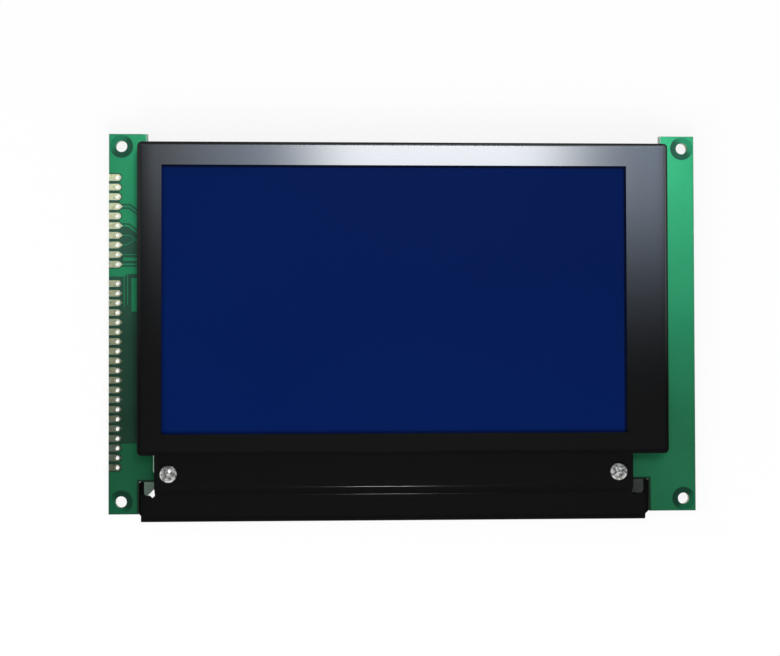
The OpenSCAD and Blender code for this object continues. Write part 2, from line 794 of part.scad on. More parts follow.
// Section of a moulded body, widest at mid-height
module package_section(span, height, taper) {
    half = span / 2;
    polygon([[-half + taper, 0], [half - taper, 0], [half, height / 2], [half - taper, height],
        [-half + taper, height], [-half, height / 2]]);
}

// A leaded package that hangs from z = 0, with its leads on the two sides that face X
module leaded_package(span, depth, height, reach, count, pitch, lead_w) {
    taper = height / 8;
    shoulder_z = standoff + (height + lead_t) / 2;
    bend_span = 3 * lead_t;
    run_out = (reach - span / 2 + taper - bend_span) / 2;
    path = [[run_out, -90], [shoulder_z - bend_span - lead_t, 90], [run_out, 0]];
    mirror([0, 0, 1]) {
        translate([0, 0, standoff]) intersection() {
            rotate([90, 0, 0]) linear_extrude(depth, center = true) package_section(span, height, taper);
            rotate([90, 0, 90]) linear_extrude(span, center = true) package_section(depth, height, taper);
        }
        for (side = [-90, 90], i = [0 : count - 1]) rotate(side) {
            lead_x = (i - (count - 1) / 2) * pitch;
            folded_sheet(path, lead_t, lead_t, lead_x - lead_w / 2, lead_x + lead_w / 2,
                taper - span / 2, shoulder_z);
        }
    }
}

module memory_chip() {
    color([0.08, 0.08, 0.085]) translate([memory_x, chip_y])
        leaded_package(memory_len, memory_w, memory_h, memory_reach, memory_leads,
            memory_pitch, memory_lead_w);
}

module bias_amplifier() {
    color([0.08, 0.08, 0.085]) translate([amplifier_x, chip_y])
        leaded_package(amplifier_len, amplifier_w, amplifier_h, amplifier_reach, amplifier_leads,
            amplifier_pitch, amplifier_lead_w);
}

// A row of chips with metal ends, lying on the board's back
module chip_row(count, y, chip_h) {
    pitch = chip_w + chip_gap;
    half_w = chip_w / 2;
    half_len = chip_len / 2;
    for (i = [0 : count - 1]) translate([memory_x + (i - (count - 1) / 2) * pitch, y]) {
        plate(chip_skin - half_w, -half_len, half_w - chip_skin, half_len, chip_skin - chip_h, 0);
        for (end_y = [-half_len, half_len - chip_cap])
            plate(-half_w, end_y, half_w, end_y + chip_cap, -chip_h, 0);
    }
}

module chip_resistors() {
    color([0.1, 0.1, 0.11]) chip_row(resistor_count, resistor_y, resistor_h);
}

module chip_capacitors() {
    color([0.6, 0.5, 0.38]) chip_row(capacitor_count, capacitor_y, capacitor_h);
}

main_board();
upper_terminal_pads();
lower_terminal_pads();
bezel();
front_polarizer();
front_glass();
rear_glass();
rear_polarizer();
column_contact_strip();
row_contact_strip();
diffuser_sheet();
light_guide();
reflector_sheet();
backlight_frame();
led_strip_board();
lamp_leds();
lamp_housing();
lamp_housing_screws();
column_driver_left();
column_driver_middle();
column_driver_right();
row_driver_upper();
row_driver_lower();
display_controller();
memory_chip();
bias_amplifier();
chip_resistors();
chip_capacitors();
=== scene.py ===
"""Looks of an edge-lit graphic display module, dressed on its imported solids."""
import json
import math

import bmesh
import bpy
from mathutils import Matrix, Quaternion, Vector


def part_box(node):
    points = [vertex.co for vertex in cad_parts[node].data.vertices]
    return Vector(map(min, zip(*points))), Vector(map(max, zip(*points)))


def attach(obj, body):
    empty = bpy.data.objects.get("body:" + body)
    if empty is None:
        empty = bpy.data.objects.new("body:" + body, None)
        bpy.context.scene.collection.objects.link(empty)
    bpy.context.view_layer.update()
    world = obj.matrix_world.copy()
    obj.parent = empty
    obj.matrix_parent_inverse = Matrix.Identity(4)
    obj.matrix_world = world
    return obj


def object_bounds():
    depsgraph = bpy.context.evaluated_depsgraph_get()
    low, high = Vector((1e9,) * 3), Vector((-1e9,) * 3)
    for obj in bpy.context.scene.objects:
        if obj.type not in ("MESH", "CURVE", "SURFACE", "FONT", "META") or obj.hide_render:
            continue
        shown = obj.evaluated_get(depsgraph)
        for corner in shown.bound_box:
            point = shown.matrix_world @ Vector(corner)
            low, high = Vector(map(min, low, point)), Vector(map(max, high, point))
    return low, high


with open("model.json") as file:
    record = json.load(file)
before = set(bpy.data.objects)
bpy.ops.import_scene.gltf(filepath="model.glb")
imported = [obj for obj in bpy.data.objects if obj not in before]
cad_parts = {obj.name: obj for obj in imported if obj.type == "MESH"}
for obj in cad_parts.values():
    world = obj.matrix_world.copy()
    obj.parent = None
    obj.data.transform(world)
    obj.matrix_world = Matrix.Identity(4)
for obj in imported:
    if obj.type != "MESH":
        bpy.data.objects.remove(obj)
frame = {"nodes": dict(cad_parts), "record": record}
cad_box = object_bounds()

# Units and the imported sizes, in millimetres
MM = 0.001
FULL_TURN = 2 * math.pi


def box_mm(node):
    """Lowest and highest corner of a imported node, in millimetres."""
    low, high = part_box(node)
    return low / MM, high / MM


def middle_mm(node):
    """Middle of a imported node's box, in millimetres."""
    low, high = box_mm(node)
    return (low + high) / 2


board_low, board_high = box_mm("main_board")
bezel_low, bezel_high = box_mm("bezel")
pads_high = box_mm("upper_terminal_pads")[1]
WINDOW_RIGHT = 58.05
WINDOW_TOP = 41.1
hole_pattern = frame["record"]["mounts"][0]["dims"]
hole_x = hole_pattern["spacing_x_mm"] / 2
hole_y = hole_pattern["spacing_y_mm"] / 2

# Terminal pads along the left edge
PAD_PITCH = 2.54
PAD_HEIGHT = 1.75
PAD_HOLE_INSET = 2.3
EMPTY_PLACE = 10
LAST_PLACE = 30
pad_x = board_low.x + PAD_HOLE_INSET
pad_tip_x = pads_high.x
first_pad_y = pads_high.y - PAD_HEIGHT / 2


def pad_y(place):
    """Height of a pad's middle, counted from the top."""
    return first_pad_y - place * PAD_PITCH


# Parts of the board's outline
EAR_LEFT = 10.1
EAR_RIGHT = 9.3
NOTCH_LEFT = 7.8
NOTCH_RIGHT = 12.5
NOTCH_TOP = -41.4
LEDGE_X = -65.55
FLANGE_RIGHT = 59.65

# Copper under the solder resist
COPPER_T = 0.03
EDGE_GAP = 0.1
CUT_GAP = 0.45
BARE_DISC_R = 3.05
EAR_RIM_X = 69
PAD_CLEAR_R = 1.2
WEDGE_ANGLE = 67
LANE = 0.68
TRACK_W = 0.45
THIN_TRACK_W = 0.2
TRACK_FALL = 0.77

# Camera, solved on the four mounting holes
CAMERA_AT = Vector((-24.302, -10.037, 411.667))
CAMERA_TURN = Vector((1.2336, -2.8583, -0.1099))
CAMERA_LENS = 71.538
SENSOR_W = 36


class Signal:
    """One socket of a finish that can be used in sums and comparisons."""

    def __init__(self, finish, socket):
        self.finish = finish
        self.socket = socket

    def maths(self, operation, *terms):
        sockets = dict(enumerate(terms))
        return self.finish.node("ShaderNodeMath", {"operation": operation}, sockets)

    def __add__(self, other):
        return self.maths("ADD", self, other)

    __radd__ = __add__

    def __sub__(self, other):
        return self.maths("SUBTRACT", self, other)

    def __rsub__(self, other):
        return self.maths("SUBTRACT", other, self)

    def __mul__(self, other):
        return self.maths("MULTIPLY", self, other)

    __rmul__ = __mul__

    def __gt__(self, other):
        return self.maths("GREATER_THAN", self, other)

    def __abs__(self):
        return self.maths("ABSOLUTE", self)

    def sine(self):
        return self.maths("SINE", self)

    def larger(self, other):
        return self.maths("MAXIMUM", self, other)

    def root(self):
        return self.maths("SQRT", self)

    def step(self, low, high):
        """Rises smoothly from 0 at low to 1 at high."""
        sockets = {"Value": self, "From Min": low, "From Max": high}
        return self.finish.node("ShaderNodeMapRange", {"interpolation_type": "SMOOTHSTEP"}, sockets)

    def output(self, name):
        """Another output of the same node."""
        return Signal(self.finish, self.socket.node.outputs[name])


class Finish:
    """A procedural material, made node by node."""

    def __init__(self, name):
        self.material = bpy.data.materials.new(name)
        self.material.use_nodes = True
        self.tree = self.material.node_tree
        self.shader = self.tree.nodes["Principled BSDF"]

    def node(self, kind, settings=None, sockets=None, out=0):
        made = self.tree.nodes.new(kind)
        for key, setting in (settings or {}).items():
            setattr(made, key, setting)
        for key, content in (sockets or {}).items():
            self.feed(made.inputs[key], content)
        return Signal(self, made.outputs[out])

    def feed(self, socket, content):
        if isinstance(content, Signal):
            self.tree.links.new(content.socket, socket)
        else:
            socket.default_value = content

    def place(self, stretch=(1, 1, 1)):
        """Position on the part in millimetres, each axis times its stretch."""
        point = self.node("ShaderNodeTexCoord", out="Object")
        scale = [share / MM for share in stretch]
        return self.node("ShaderNodeVectorMath", {"operation": "MULTIPLY"}, {0: point, 1: scale})

    def axes(self):
        """The three coordinates in millimetres."""
        x = self.node("ShaderNodeSeparateXYZ", sockets={0: self.place()})
        return x, x.output("Y"), x.output("Z")

    def upright(self):
        """How far the surface faces up or down, from 0 on an edge to 1 on a face."""
        normal = self.node("ShaderNodeTexCoord", out="Normal")
        return abs(self.node("ShaderNodeSeparateXYZ", sockets={0: normal}, out="Z"))

    def flatness(self):
        """1 where the surface faces squarely along an axis, less on folds and slopes."""
        normal = self.node("ShaderNodeTexCoord", out="Normal")
        x = self.node("ShaderNodeSeparateXYZ", sockets={0: normal})
        return abs(x).larger(abs(x.output("Y"))).larger(abs(x.output("Z")))

    def noise(self, per_mm, detail=3, stretch=(1, 1, 1)):
        sockets = {"Vector": self.place(stretch), "Scale": per_mm, "Detail": detail}
        return self.node("ShaderNodeTexNoise", sockets=sockets)

    def blend(self, share, low, high):
        sockets = {0: share, 6: low, 7: high}
        return self.node("ShaderNodeMix", {"data_type": "RGBA"}, sockets, out=2)

    def bump(self, height, depth_mm):
        sockets = {"Height": height, "Distance": depth_mm * MM}
        return self.node("ShaderNodeBump", sockets=sockets)

    def dress(self, **sockets):
        for name, content in sockets.items():
            self.feed(self.shader.inputs[name.replace("_", " ")], content)
        return self


class Room(Finish):
    """The light from all round, made node by node in the same way."""

    def __init__(self, name):
        self.world = bpy.data.worlds.new(name)
        self.world.use_nodes = True
        self.tree = self.world.node_tree
        self.shader = self.tree.nodes["Background"]


def srgb(red, green, blue):
    """A colour as it looks on a screen, 0 to 255, turned into the shader's own scale."""
    shares = [level / 255 for level in (red, green, blue)]
    linear = [((share + 0.055) / 1.055) ** 2.4 if share > 0.04045 else share / 12.92 for share in shares]
    return (*linear, 1)


# Finishes of the board

def resist_over_laminate():
    """Dark green resist on bare laminate, with painted light making it lighter towards the top. Round the
    holes the bare discs carry painted shade on their side towards the board's middle and turn greener
    towards the corner.

    The edges show layered glass fibre, with painted shade making them darker in the cut for the lamp
    housing.
    """
    finish = Finish("resist_over_laminate")
    x, y, z = finish.axes()
    threads_per_mm = 1.6
    weave = (x * (FULL_TURN * threads_per_mm)).sine() * (y * (FULL_TURN * threads_per_mm)).sine()
    cloud = finish.noise(0.11, detail=4)
    # painted light: the resist colour turns lighter towards the top
    face = finish.blend(cloud * 0.4 + y.step(-30, 30) * 0.6, srgb(25, 53, 38), srgb(50, 94, 75))
    from_hole_x, from_hole_y = abs(x) - hole_x, abs(y) - hole_y
    from_hole = (from_hole_x * from_hole_x + from_hole_y * from_hole_y).root()
    under_copper = 0.2
    beyond_disc = from_hole > BARE_DISC_R + under_copper
    disc = finish.blend(cloud, srgb(30, 72, 52), srgb(39, 86, 65))
    towards_corner = (from_hole_x + from_hole_y).step(-0.6, 2.6)
    # painted shade: each bare disc is darker on its side towards the board's middle, greener towards the
    # corner
    disc = finish.blend(towards_corner * 0.7, disc, srgb(38, 136, 92))
    ear_rim = (y > bezel_high.y) * (EAR_RIM_X - abs(x) > 0)
    skin = finish.blend(beyond_disc, disc, finish.blend(ear_rim, face, srgb(172, 214, 196)))
    layers_per_mm = 5
    layers = (z * (FULL_TURN * layers_per_mm)).sine() * 0.5 + 0.5
    fibres = finish.noise(3, detail=4, stretch=(1, 1, 6))
    sawn = finish.blend(layers * fibres, srgb(140, 150, 122), srgb(208, 213, 188))
    # painted shade: the edges in the cut for the lamp housing are darker
    shaded_cut_edge = finish.blend(layers * fibres, srgb(62, 72, 50), srgb(104, 112, 82))
    margin = 0.1
    cut_left = board_low.x + NOTCH_LEFT - margin
    cut_right = board_high.x - NOTCH_RIGHT + margin
    in_cut = (x > cut_left) * (cut_right - x > 0) * (NOTCH_TOP + margin - y > 0)
    edge = finish.blend(in_cut, sawn, shaded_cut_edge)
    is_face = finish.upright() > 0.5
    grain = finish.noise(1.3) + weave * 0.12
    return finish.dress(
        Base_Color=finish.blend(is_face, edge, skin),
        Metallic=is_face * (0.8 - beyond_disc * 0.3 - ear_rim * 0.4),
        Roughness=0.62 - is_face * 0.24 + cloud * 0.08,
        Specular_IOR_Level=0.2,
        Normal=finish.bump(grain, 0.008),
    )


def resist_over_copper():
    """Brighter green resist over copper, with painted shade making it darker towards the bottom, more so
    on the left, and duller towards the bottom.
    """
    finish = Finish("resist_over_copper")
    x, y, _ = finish.axes()
    cloud = finish.noise(0.07, detail=4)
    speckle = finish.noise(2.2, detail=2)
    lower = 1 - y.step(-36, 0)
    colour = finish.blend(cloud, srgb(39, 136, 88), srgb(49, 157, 104))
    # painted shade: darker towards the bottom, more so on the left
    shade = lower * (0.52 - x.step(-60, 60) * 0.22)
    colour = finish.blend(shade, colour, srgb(0, 0, 0))
    return finish.dress(
        Base_Color=finish.blend((speckle > 0.66) * 0.18, colour, srgb(30, 108, 70)),
        Metallic=0.83 - lower * 0.28,
        Roughness=0.32 + speckle * 0.08,
        Specular_IOR_Level=0.5,
        Normal=finish.bump(finish.noise(0.9), 0.012),
    )


def tinned_copper():
    """Cream tin, with painted shade making it darker and greyer low down, browner where flux stayed, and
    with painted shade in dark green on the lower pads' tips.
    """
    finish = Finish("tinned_copper")
    x, y, _ = finish.axes()
    stain = finish.noise(0.8, detail=4)
    dip = finish.noise(1.7, detail=2)
    # painted shade: the tin is darker and greyer low down
    tin_shaded_low = finish.blend(y.step(-30, -10), srgb(202, 213, 180), srgb(244, 242, 194))
    tin = finish.blend(stain.step(0.48, 0.85), tin_shaded_low, srgb(194, 180, 116))
    # painted shade: the tips of the lower pads are dark green
    in_lower_row = 1 - (y > pad_y(EMPTY_PLACE))
    tip_shade = in_lower_row * x.step(pad_x + 0.6, pad_x + 0.8) * (1 - (x > pad_tip_x + 1))
    return finish.dress(
        Base_Color=finish.blend(tip_shade * 0.6, tin, srgb(38, 70, 50)),
        Metallic=1.0,
        Roughness=0.24 + stain * 0.1,
        Normal=finish.bump(dip, 0.03),
    )


def white_ink():
    """Printed white lines with small thin spots."""
    finish = Finish("white_ink")
    thin = finish.noise(4, detail=3)
    return finish.dress(
        Base_Color=finish.blend(thin.step(0.5, 0.75), srgb(232, 234, 228), srgb(150, 178, 160)),
        Roughness=0.55 + thin * 0.2,
    )


def solder():
    """Bright solder with a soft grain."""
    finish = Finish("solder")
    grain = finish.noise(3, detail=3)
    return finish.dress(
        Base_Color=finish.blend(grain, srgb(182, 184, 186), srgb(222, 222, 220)),
        Metallic=1.0,
        Roughness=0.24 + grain * 0.16,
        Normal=finish.bump(grain, 0.02),
    )


# Finishes of the display and its covers

def black_enamel(node, level):
    """Black enamel on folded sheet: gloss on the flats, with some dust and hair scratches.

    The folds are dull, with a painted sheen that is lighter towards the top and the right, where the light
    falls. The gloss fades at the sides.
    """
    finish = Finish(node + "_enamel")
    low, high = box_mm(node)
    x, y, _ = finish.axes()
    peel = finish.noise(2.4, detail=2)
    dust = finish.noise(5.5, detail=1) > 0.76
    scratch = finish.noise(0.6, detail=2, stretch=(0.12, 3.2, 1)).step(0.72, 0.76)
    black = finish.blend(peel, srgb(level, level, level), srgb(level + 3, level + 3, level + 3))
    flatness = finish.flatness()
    flat = flatness.step(0.985, 0.9995)
    rightwards = x.step(-50, 10)
    upwards = y.step(-20, 40)
    # painted sheen on the folds: lighter where they face up, towards the right and towards the top, near
    # black lower down
    sheen_and_wear = finish.blend(finish.upright().step(0.78, 0.95), srgb(44, 46, 47), srgb(106, 110, 112))
    fold_sheen = finish.blend(rightwards, srgb(44, 47, 46), sheen_and_wear)
    fold_sheen = finish.blend(upwards, srgb(14, 14, 14), fold_sheen)
    from_left = (x - low.x).step(0.3, 5) * 0.6 + 0.4
    from_right = (high.x - x).step(-1, 3.6) * 0.5 + 0.5
    from_below = (y - low.y).step(0.9, 1.8)
    gloss = flatness.step(0.88, 0.99) * from_left * from_right * from_below
    return finish.dress(
        Base_Color=finish.blend(dust * 0.3, finish.blend(flat, fold_sheen, black), srgb(60, 60, 62)),
        Roughness=0.42 + peel * 0.1,
        Specular_IOR_Level=0.02,
        Coat_Weight=gloss * (1 - scratch * 0.2 - dust * 0.2),
        Coat_Roughness=0.11,
        Coat_IOR=1.8,
        Normal=finish.bump(peel, 0.0006),
    )


def blue_film():
    """Deep blue display film with the faint grid of its dots and a painted shadow of the bezel along its
    upper and right edges.
    """
    finish = Finish("blue_film")
    x, y, _ = finish.axes()
    dots_per_mm = 2
    grid = abs((x * (math.pi * dots_per_mm)).sine()) * abs((y * (math.pi * dots_per_mm)).sine())
    cloud = finish.noise(0.02, detail=2)
    lit = finish.blend(cloud, srgb(6, 27, 83), srgb(8, 31, 88))
    dots = finish.blend(grid.step(0.0, 0.25) * 0.06 + 0.94, srgb(3, 16, 60), lit)
    # painted shadow that the bezel casts on the film along its upper and right edges
    shadow_top, shadow_right = 0.65, 0.6
    bezel_shadow = (y > WINDOW_TOP - shadow_top).larger(x > WINDOW_RIGHT - shadow_right)
    return finish.dress(
        Base_Color=finish.blend(bezel_shadow * 0.8, dots, srgb(8, 12, 20)),
        Roughness=0.3 + cloud * 0.06,
        Specular_IOR_Level=0.004,
    )


def clear_sheet(name, tint, roughness):
    """Clear glass or acrylic with a slight, cloudy tint."""
    finish = Finish(name)
    cloud = finish.noise(0.1)
    return finish.dress(
        Base_Color=finish.blend(cloud, tint, srgb(246, 250, 250)),
        Roughness=roughness + cloud * 0.04,
        Transmission_Weight=0.85,
    )


def thin_film(name, low, high, roughness):
    """Matte plastic film with a fine, even grain."""
    finish = Finish(name)
    grain = finish.noise(3, detail=4)
    return finish.dress(
        Base_Color=finish.blend(grain, low, high),
        Roughness=roughness + grain * 0.1,
        Normal=finish.bump(grain, 0.004),
    )


def contact_layers():
    """Pink rubber with fine black conductive layers across it."""
    finish = Finish("contact_layers")
    x, y, _ = finish.axes()
    layers_per_mm = 4
    dark = ((x + y) * (FULL_TURN * layers_per_mm)).sine().step(0.2, 0.5)
    grain = finish.noise(3)
    rubber = finish.blend(grain, srgb(214, 150, 158), srgb(228, 172, 176))
    return finish.dress(
        Base_Color=finish.blend(dark, rubber, srgb(26, 25, 27)),
        Roughness=0.6 + grain * 0.15,
    )


def white_moulding():
    """White moulded plastic, with painted shade tinted by the board's green on its left rim, and painted
    shade in grey on the feet below the board's face, darker on the right foot.
    """
    finish = Finish("white_moulding")
    x, y, z = finish.axes()
    grain = finish.noise(1.6, detail=4)
    white = finish.blend(grain, srgb(222, 224, 216), srgb(238, 238, 232))
    # painted shade on the left rim, tinted with the board's green
    rim = finish.blend(grain, srgb(112, 140, 124), srgb(140, 166, 150))
    band_mm = 0.9
    bands = (y * (FULL_TURN / band_mm)).sine() * 0.5 + 0.5
    # painted shade on the feet, darker on the right foot
    left_foot_shade = finish.blend(grain * 0.6 + bands * 0.4, srgb(94, 116, 102), srgb(118, 140, 125))
    right_foot_shade = finish.blend(grain, srgb(46, 52, 45), srgb(60, 66, 58))
    skin = finish.blend(x > 0, left_foot_shade, right_foot_shade)
    above = z.step(board_high.z, board_high.z + 0.4)
    return finish.dress(
        Base_Color=finish.blend(above, skin, finish.blend(x > LEDGE_X + 2, rim, white)),
        Roughness=0.48 + grain * 0.12,
        Normal=finish.bump(grain, 0.008),
    )


def lamp_phosphor():
    """Yellow phosphor window on the side that faces the light guide, white package round it."""
    finish = Finish("lamp_phosphor")
    _, y, _ = finish.axes()
    grain = finish.noise(5)
    window_depth = 0.4
    window = y > box_mm("lamp_leds")[1].y - window_depth
    package = finish.blend(grain, srgb(226, 226, 220), srgb(240, 240, 236))
    phosphor = finish.blend(grain, srgb(236, 206, 84), srgb(248, 226, 120))
    return finish.dress(
        Base_Color=finish.blend(window, package, phosphor),
        Roughness=0.3 + grain * 0.1,
    )


def nickel_plate():
    """Plated screws with painted glints, bright and grey by a slow noise, on the rim and in the recess,
    and blotchy grey between, part wear and part painted reflection.
    """
    finish = Finish("nickel_plate")
    x, y, _ = finish.axes()
    low, high = box_mm("lamp_housing_screws")
    head_r = (high.y - low.y) / 2
    middle = (low + high) / 2
    aside = abs(abs(x - middle.x) - (high.x - low.x) / 2 + head_r)
    along = y - middle.y
    distance = (aside * aside + along * along).root()
    # painted highlight: the rim and the recess take the glint colour
    bright = distance.step(head_r - 0.7, head_r - 0.2) + 1 - distance.step(0.3, 0.8)
    wear = finish.noise(1.4, detail=3).step(0.42, 0.6)
    grain = finish.noise(4, detail=3)
    # blotchy grey, part wear and part painted reflection
    sheen_and_wear = finish.blend(wear, srgb(140, 138, 134), srgb(226, 225, 221))
    # painted glints, bright and grey by a slow noise
    glint = finish.noise(0.9, detail=2).step(0.4, 0.54)
    glint_colour = finish.blend(glint, srgb(134, 132, 128), srgb(250, 249, 246))
    return finish.dress(
        Base_Color=finish.blend(bright, sheen_and_wear, glint_colour),
        Metallic=0.55,
        Roughness=0.26 + grain * 0.16,
        Normal=finish.bump(grain, 0.012),
    )


# Finishes of the parts on the back

def black_epoxy():
    """Self-levelled black resin, glossy with a slow waviness."""
    finish = Finish("black_epoxy")
    wave = finish.noise(0.35, detail=3)
    pit = finish.noise(4, detail=1)
    return finish.dress(
        Base_Color=finish.blend(wave, srgb(15, 15, 16), srgb(27, 27, 29)),
        Roughness=0.15 + wave * 0.12 + (pit > 0.72) * 0.2,
        Normal=finish.bump(wave, 0.06),
    )


def moulded_chip(name, body_half):
    """Black moulded package; what stands out beyond the body is tinned lead."""
    finish = Finish(name)
    x, _, _ = finish.axes()
    lead = abs(x - middle_mm(name).x) > body_half
    grain = finish.noise(4, detail=4)
    body = finish.blend(grain, srgb(30, 30, 31), srgb(48, 48, 49))
    tin = finish.blend(grain, srgb(186, 186, 184), srgb(214, 213, 210))
    return finish.dress(
        Base_Color=finish.blend(lead, body, tin),
        Metallic=lead,
        Roughness=0.58 - lead * 0.28 + grain * 0.12,
        Normal=finish.bump(grain, 0.01),
    )


def chip_with_ends(name, low_colour, high_colour, gloss):
    """Small chip with a metal end on both sides of its body."""
    finish = Finish(name)
    low, high = box_mm(name)
    _, y, _ = finish.axes()
    metal_end = 0.4
    end = abs(y - middle_mm(name).y) > (high.y - low.y) / 2 - metal_end
    grain = finish.noise(5, detail=3)
    body = finish.blend(grain, low_colour, high_colour)
    tin = finish.blend(grain, srgb(190, 190, 188), srgb(218, 218, 214))
    return finish.dress(
        Base_Color=finish.blend(end, body, tin),
        Metallic=end,
        Roughness=gloss + grain * 0.14,
        Normal=finish.bump(grain, 0.008),
    )


MEMORY_BODY_HALF = 5.95
AMPLIFIER_BODY_HALF = 2.0

board_finish = resist_over_laminate()
copper_finish = resist_over_copper()
tin_finish = tinned_copper()
ink_finish = white_ink()
solder_finish = solder()
glass_finish = clear_sheet("display_glass", srgb(196, 222, 216), 0.04)
white_film_finish = thin_film("white_film", srgb(232, 234, 234), srgb(244, 245, 245), 0.5)
elastomer_finish = contact_layers()
epoxy_finish = black_epoxy()

NODE_FINISHES = {
    "main_board": board_finish,
    "upper_terminal_pads": tin_finish,
    "lower_terminal_pads": tin_finish,
    "bezel": black_enamel("bezel", 17),
    "front_polarizer": blue_film(),
    "front_glass": glass_finish,
    "rear_glass": glass_finish,
    "rear_polarizer": thin_film("rear_film", srgb(112, 116, 126), srgb(134, 138, 148), 0.3),
    "column_contact_strip": elastomer_finish,
    "row_contact_strip": elastomer_finish,
    "diffuser_sheet": white_film_finish,
    "light_guide": clear_sheet("clear_acrylic", srgb(214, 232, 238), 0.06),
    "reflector_sheet": white_film_finish,
    "backlight_frame": white_moulding(),
    "led_strip_board": thin_film("strip_resist", srgb(222, 222, 214), srgb(236, 236, 230), 0.36),
    "lamp_leds": lamp_phosphor(),
    "lamp_housing": black_enamel("lamp_housing", 11),
    "lamp_housing_screws": nickel_plate(),
    "column_driver_left": epoxy_finish,
    "column_driver_middle": epoxy_finish,
    "column_driver_right": epoxy_finish,
    "row_driver_upper": epoxy_finish,
    "row_driver_lower": epoxy_finish,
    "display_controller": epoxy_finish,
    "memory_chip": moulded_chip("memory_chip", MEMORY_BODY_HALF),
    "bias_amplifier": moulded_chip("bias_amplifier", AMPLIFIER_BODY_HALF),
    "chip_resistors": chip_with_ends("chip_resistors", srgb(26, 27, 30), srgb(44, 45, 48), 0.3),
    "chip_capacitors": chip_with_ends("chip_capacitors", srgb(168, 138, 100), srgb(188, 158, 120), 0.5),
}

for node, finish in NODE_FINISHES.items():
    for slot in frame["nodes"][node].material_slots:
        slot.material = finish.material


# Flat shapes for copper and ink

def arc(centre, radius, start, end, steps=16):
    """Points on an arc from one angle to another, in degrees."""
    angles = [math.radians(start + (end - start) * step / steps) for step in range(steps + 1)]
    return [(centre[0] + radius * math.cos(a), centre[1] + radius * math.sin(a)) for a in angles]


def circle(centre, radius, steps=40):
    return arc(centre, radius, 0, 360, steps)[:-1]


def rectangle(x0, y0, x1, y1):
    return [(x0, y0), (x1, y0), (x1, y1), (x0, y1)]


def beside(path, distance):
    """The path moved sideways, to its left for a distance above 0, with sharp corners."""
    points = [Vector(point) for point in path]
    runs = [(after - before).normalized() for before, after in zip(points, points[1:])]
    sides = [Vector((-run.y, run.x)) for run in runs]
    moved = []
    for point, before, after in zip(points, sides[:1] + sides, sides + sides[-1:]):
        middle = (before + after).normalized()
        moved.append(tuple(point + middle * (distance / middle.dot(after))))
    return moved


def ribbon(path, width):
    return beside(path, width / 2) + beside(path, -width / 2)[::-1]


def flat_piece(name, shapes, level, thickness, finish):
    """A thin sheet on the board. Each shape is an outline followed by the outlines of its openings."""
    mesh = bmesh.new()
    for outlines in shapes:
        rims = []
        for outline in outlines:
            corners = [mesh.verts.new((x * MM, y * MM, level * MM)) for x, y in outline]
            rims += [mesh.edges.new(pair) for pair in zip(corners, corners[1:] + corners[:1])]
        bmesh.ops.triangle_fill(mesh, edges=rims, use_beauty=True)
    raised = bmesh.ops.extrude_face_region(mesh, geom=mesh.faces[:], use_keep_orig=True)
    tops = [part for part in raised["geom"] if isinstance(part, bmesh.types.BMVert)]
    bmesh.ops.translate(mesh, verts=tops, vec=(0, 0, thickness * MM))
    board_piece(name, mesh, finish)


def board_piece(name, mesh, finish):
    """Turns a finished mesh into a piece that rides with the module."""
    bmesh.ops.recalc_face_normals(mesh, faces=mesh.faces[:])
    piece = new_object(name, mesh, finish)
    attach(piece, "root")


def new_object(name, mesh, finish):
    """Turns a mesh into an object of the scene with one finish."""
    data = bpy.data.meshes.new(name)
    mesh.to_mesh(data)
    mesh.free()
    data.materials.append(finish.material)
    made = bpy.data.objects.new(name, data)
    bpy.context.scene.collection.objects.link(made)
    return made


# Copper on the front

edge_left = board_low.x + EDGE_GAP
edge_right = board_high.x - EDGE_GAP
edge_top = board_high.y - EDGE_GAP
edge_bottom = board_low.y + EDGE_GAP
BEZEL_GAP = 0.02
beside_bezel_left = bezel_low.x - BEZEL_GAP
beside_bezel_right = bezel_high.x + BEZEL_GAP
above_bezel = bezel_high.y + BEZEL_GAP
below_bezel = bezel_low.y - BEZEL_GAP
ear_left = board_low.x + EAR_LEFT - CUT_GAP
ear_right = board_high.x - EAR_RIGHT + CUT_GAP
above_notch = NOTCH_TOP + CUT_GAP
notch_left = board_low.x + NOTCH_LEFT - CUT_GAP
notch_right = board_high.x - NOTCH_RIGHT + CUT_GAP
beside_frame_left = LEDGE_X - BEZEL_GAP
beside_frame_right = FLANGE_RIGHT + BEZEL_GAP


def round_pad(place, start, end):
    """Edge of the bare ring round the inner end of a pad."""
    return arc((pad_x, pad_y(place)), PAD_CLEAR_R, start, end)


def falling_track(place, turn_x):
    """A track that leaves a pad, then slants down and goes under the bezel."""
    y = pad_y(place)
    drop = (beside_bezel_left - turn_x) * TRACK_FALL
    return [(pad_tip_x, y), (turn_x, y), (beside_bezel_left, y - drop)]


LANE_ANGLE = math.degrees(math.asin(LANE / PAD_CLEAR_R))
lane_x = pad_x + PAD_CLEAR_R * math.cos(math.radians(LANE_ANGLE))
TURN_X = -72.36
EARLY_TURN_X = -72.72
fourth_track = falling_track(3, TURN_X)
sixth_track = falling_track(5, EARLY_TURN_X)
seventh_track = falling_track(6, TURN_X)
eighth_track = [(pad_tip_x, pad_y(7)), (-73.3, pad_y(7)), (-71.2, 21.85)]
ninth_track = [(pad_tip_x, pad_y(8)), (beside_bezel_left, pad_y(8))]
tenth_track = [(pad_tip_x, pad_y(9)), (beside_bezel_left, pad_y(9))]


def lane_edge(path, side):
    """Edge of the bare lane beside a track, from the pad to the bezel."""
    lane = [(lane_x, path[0][1])] + path[1:]
    return beside(lane, side * LANE)


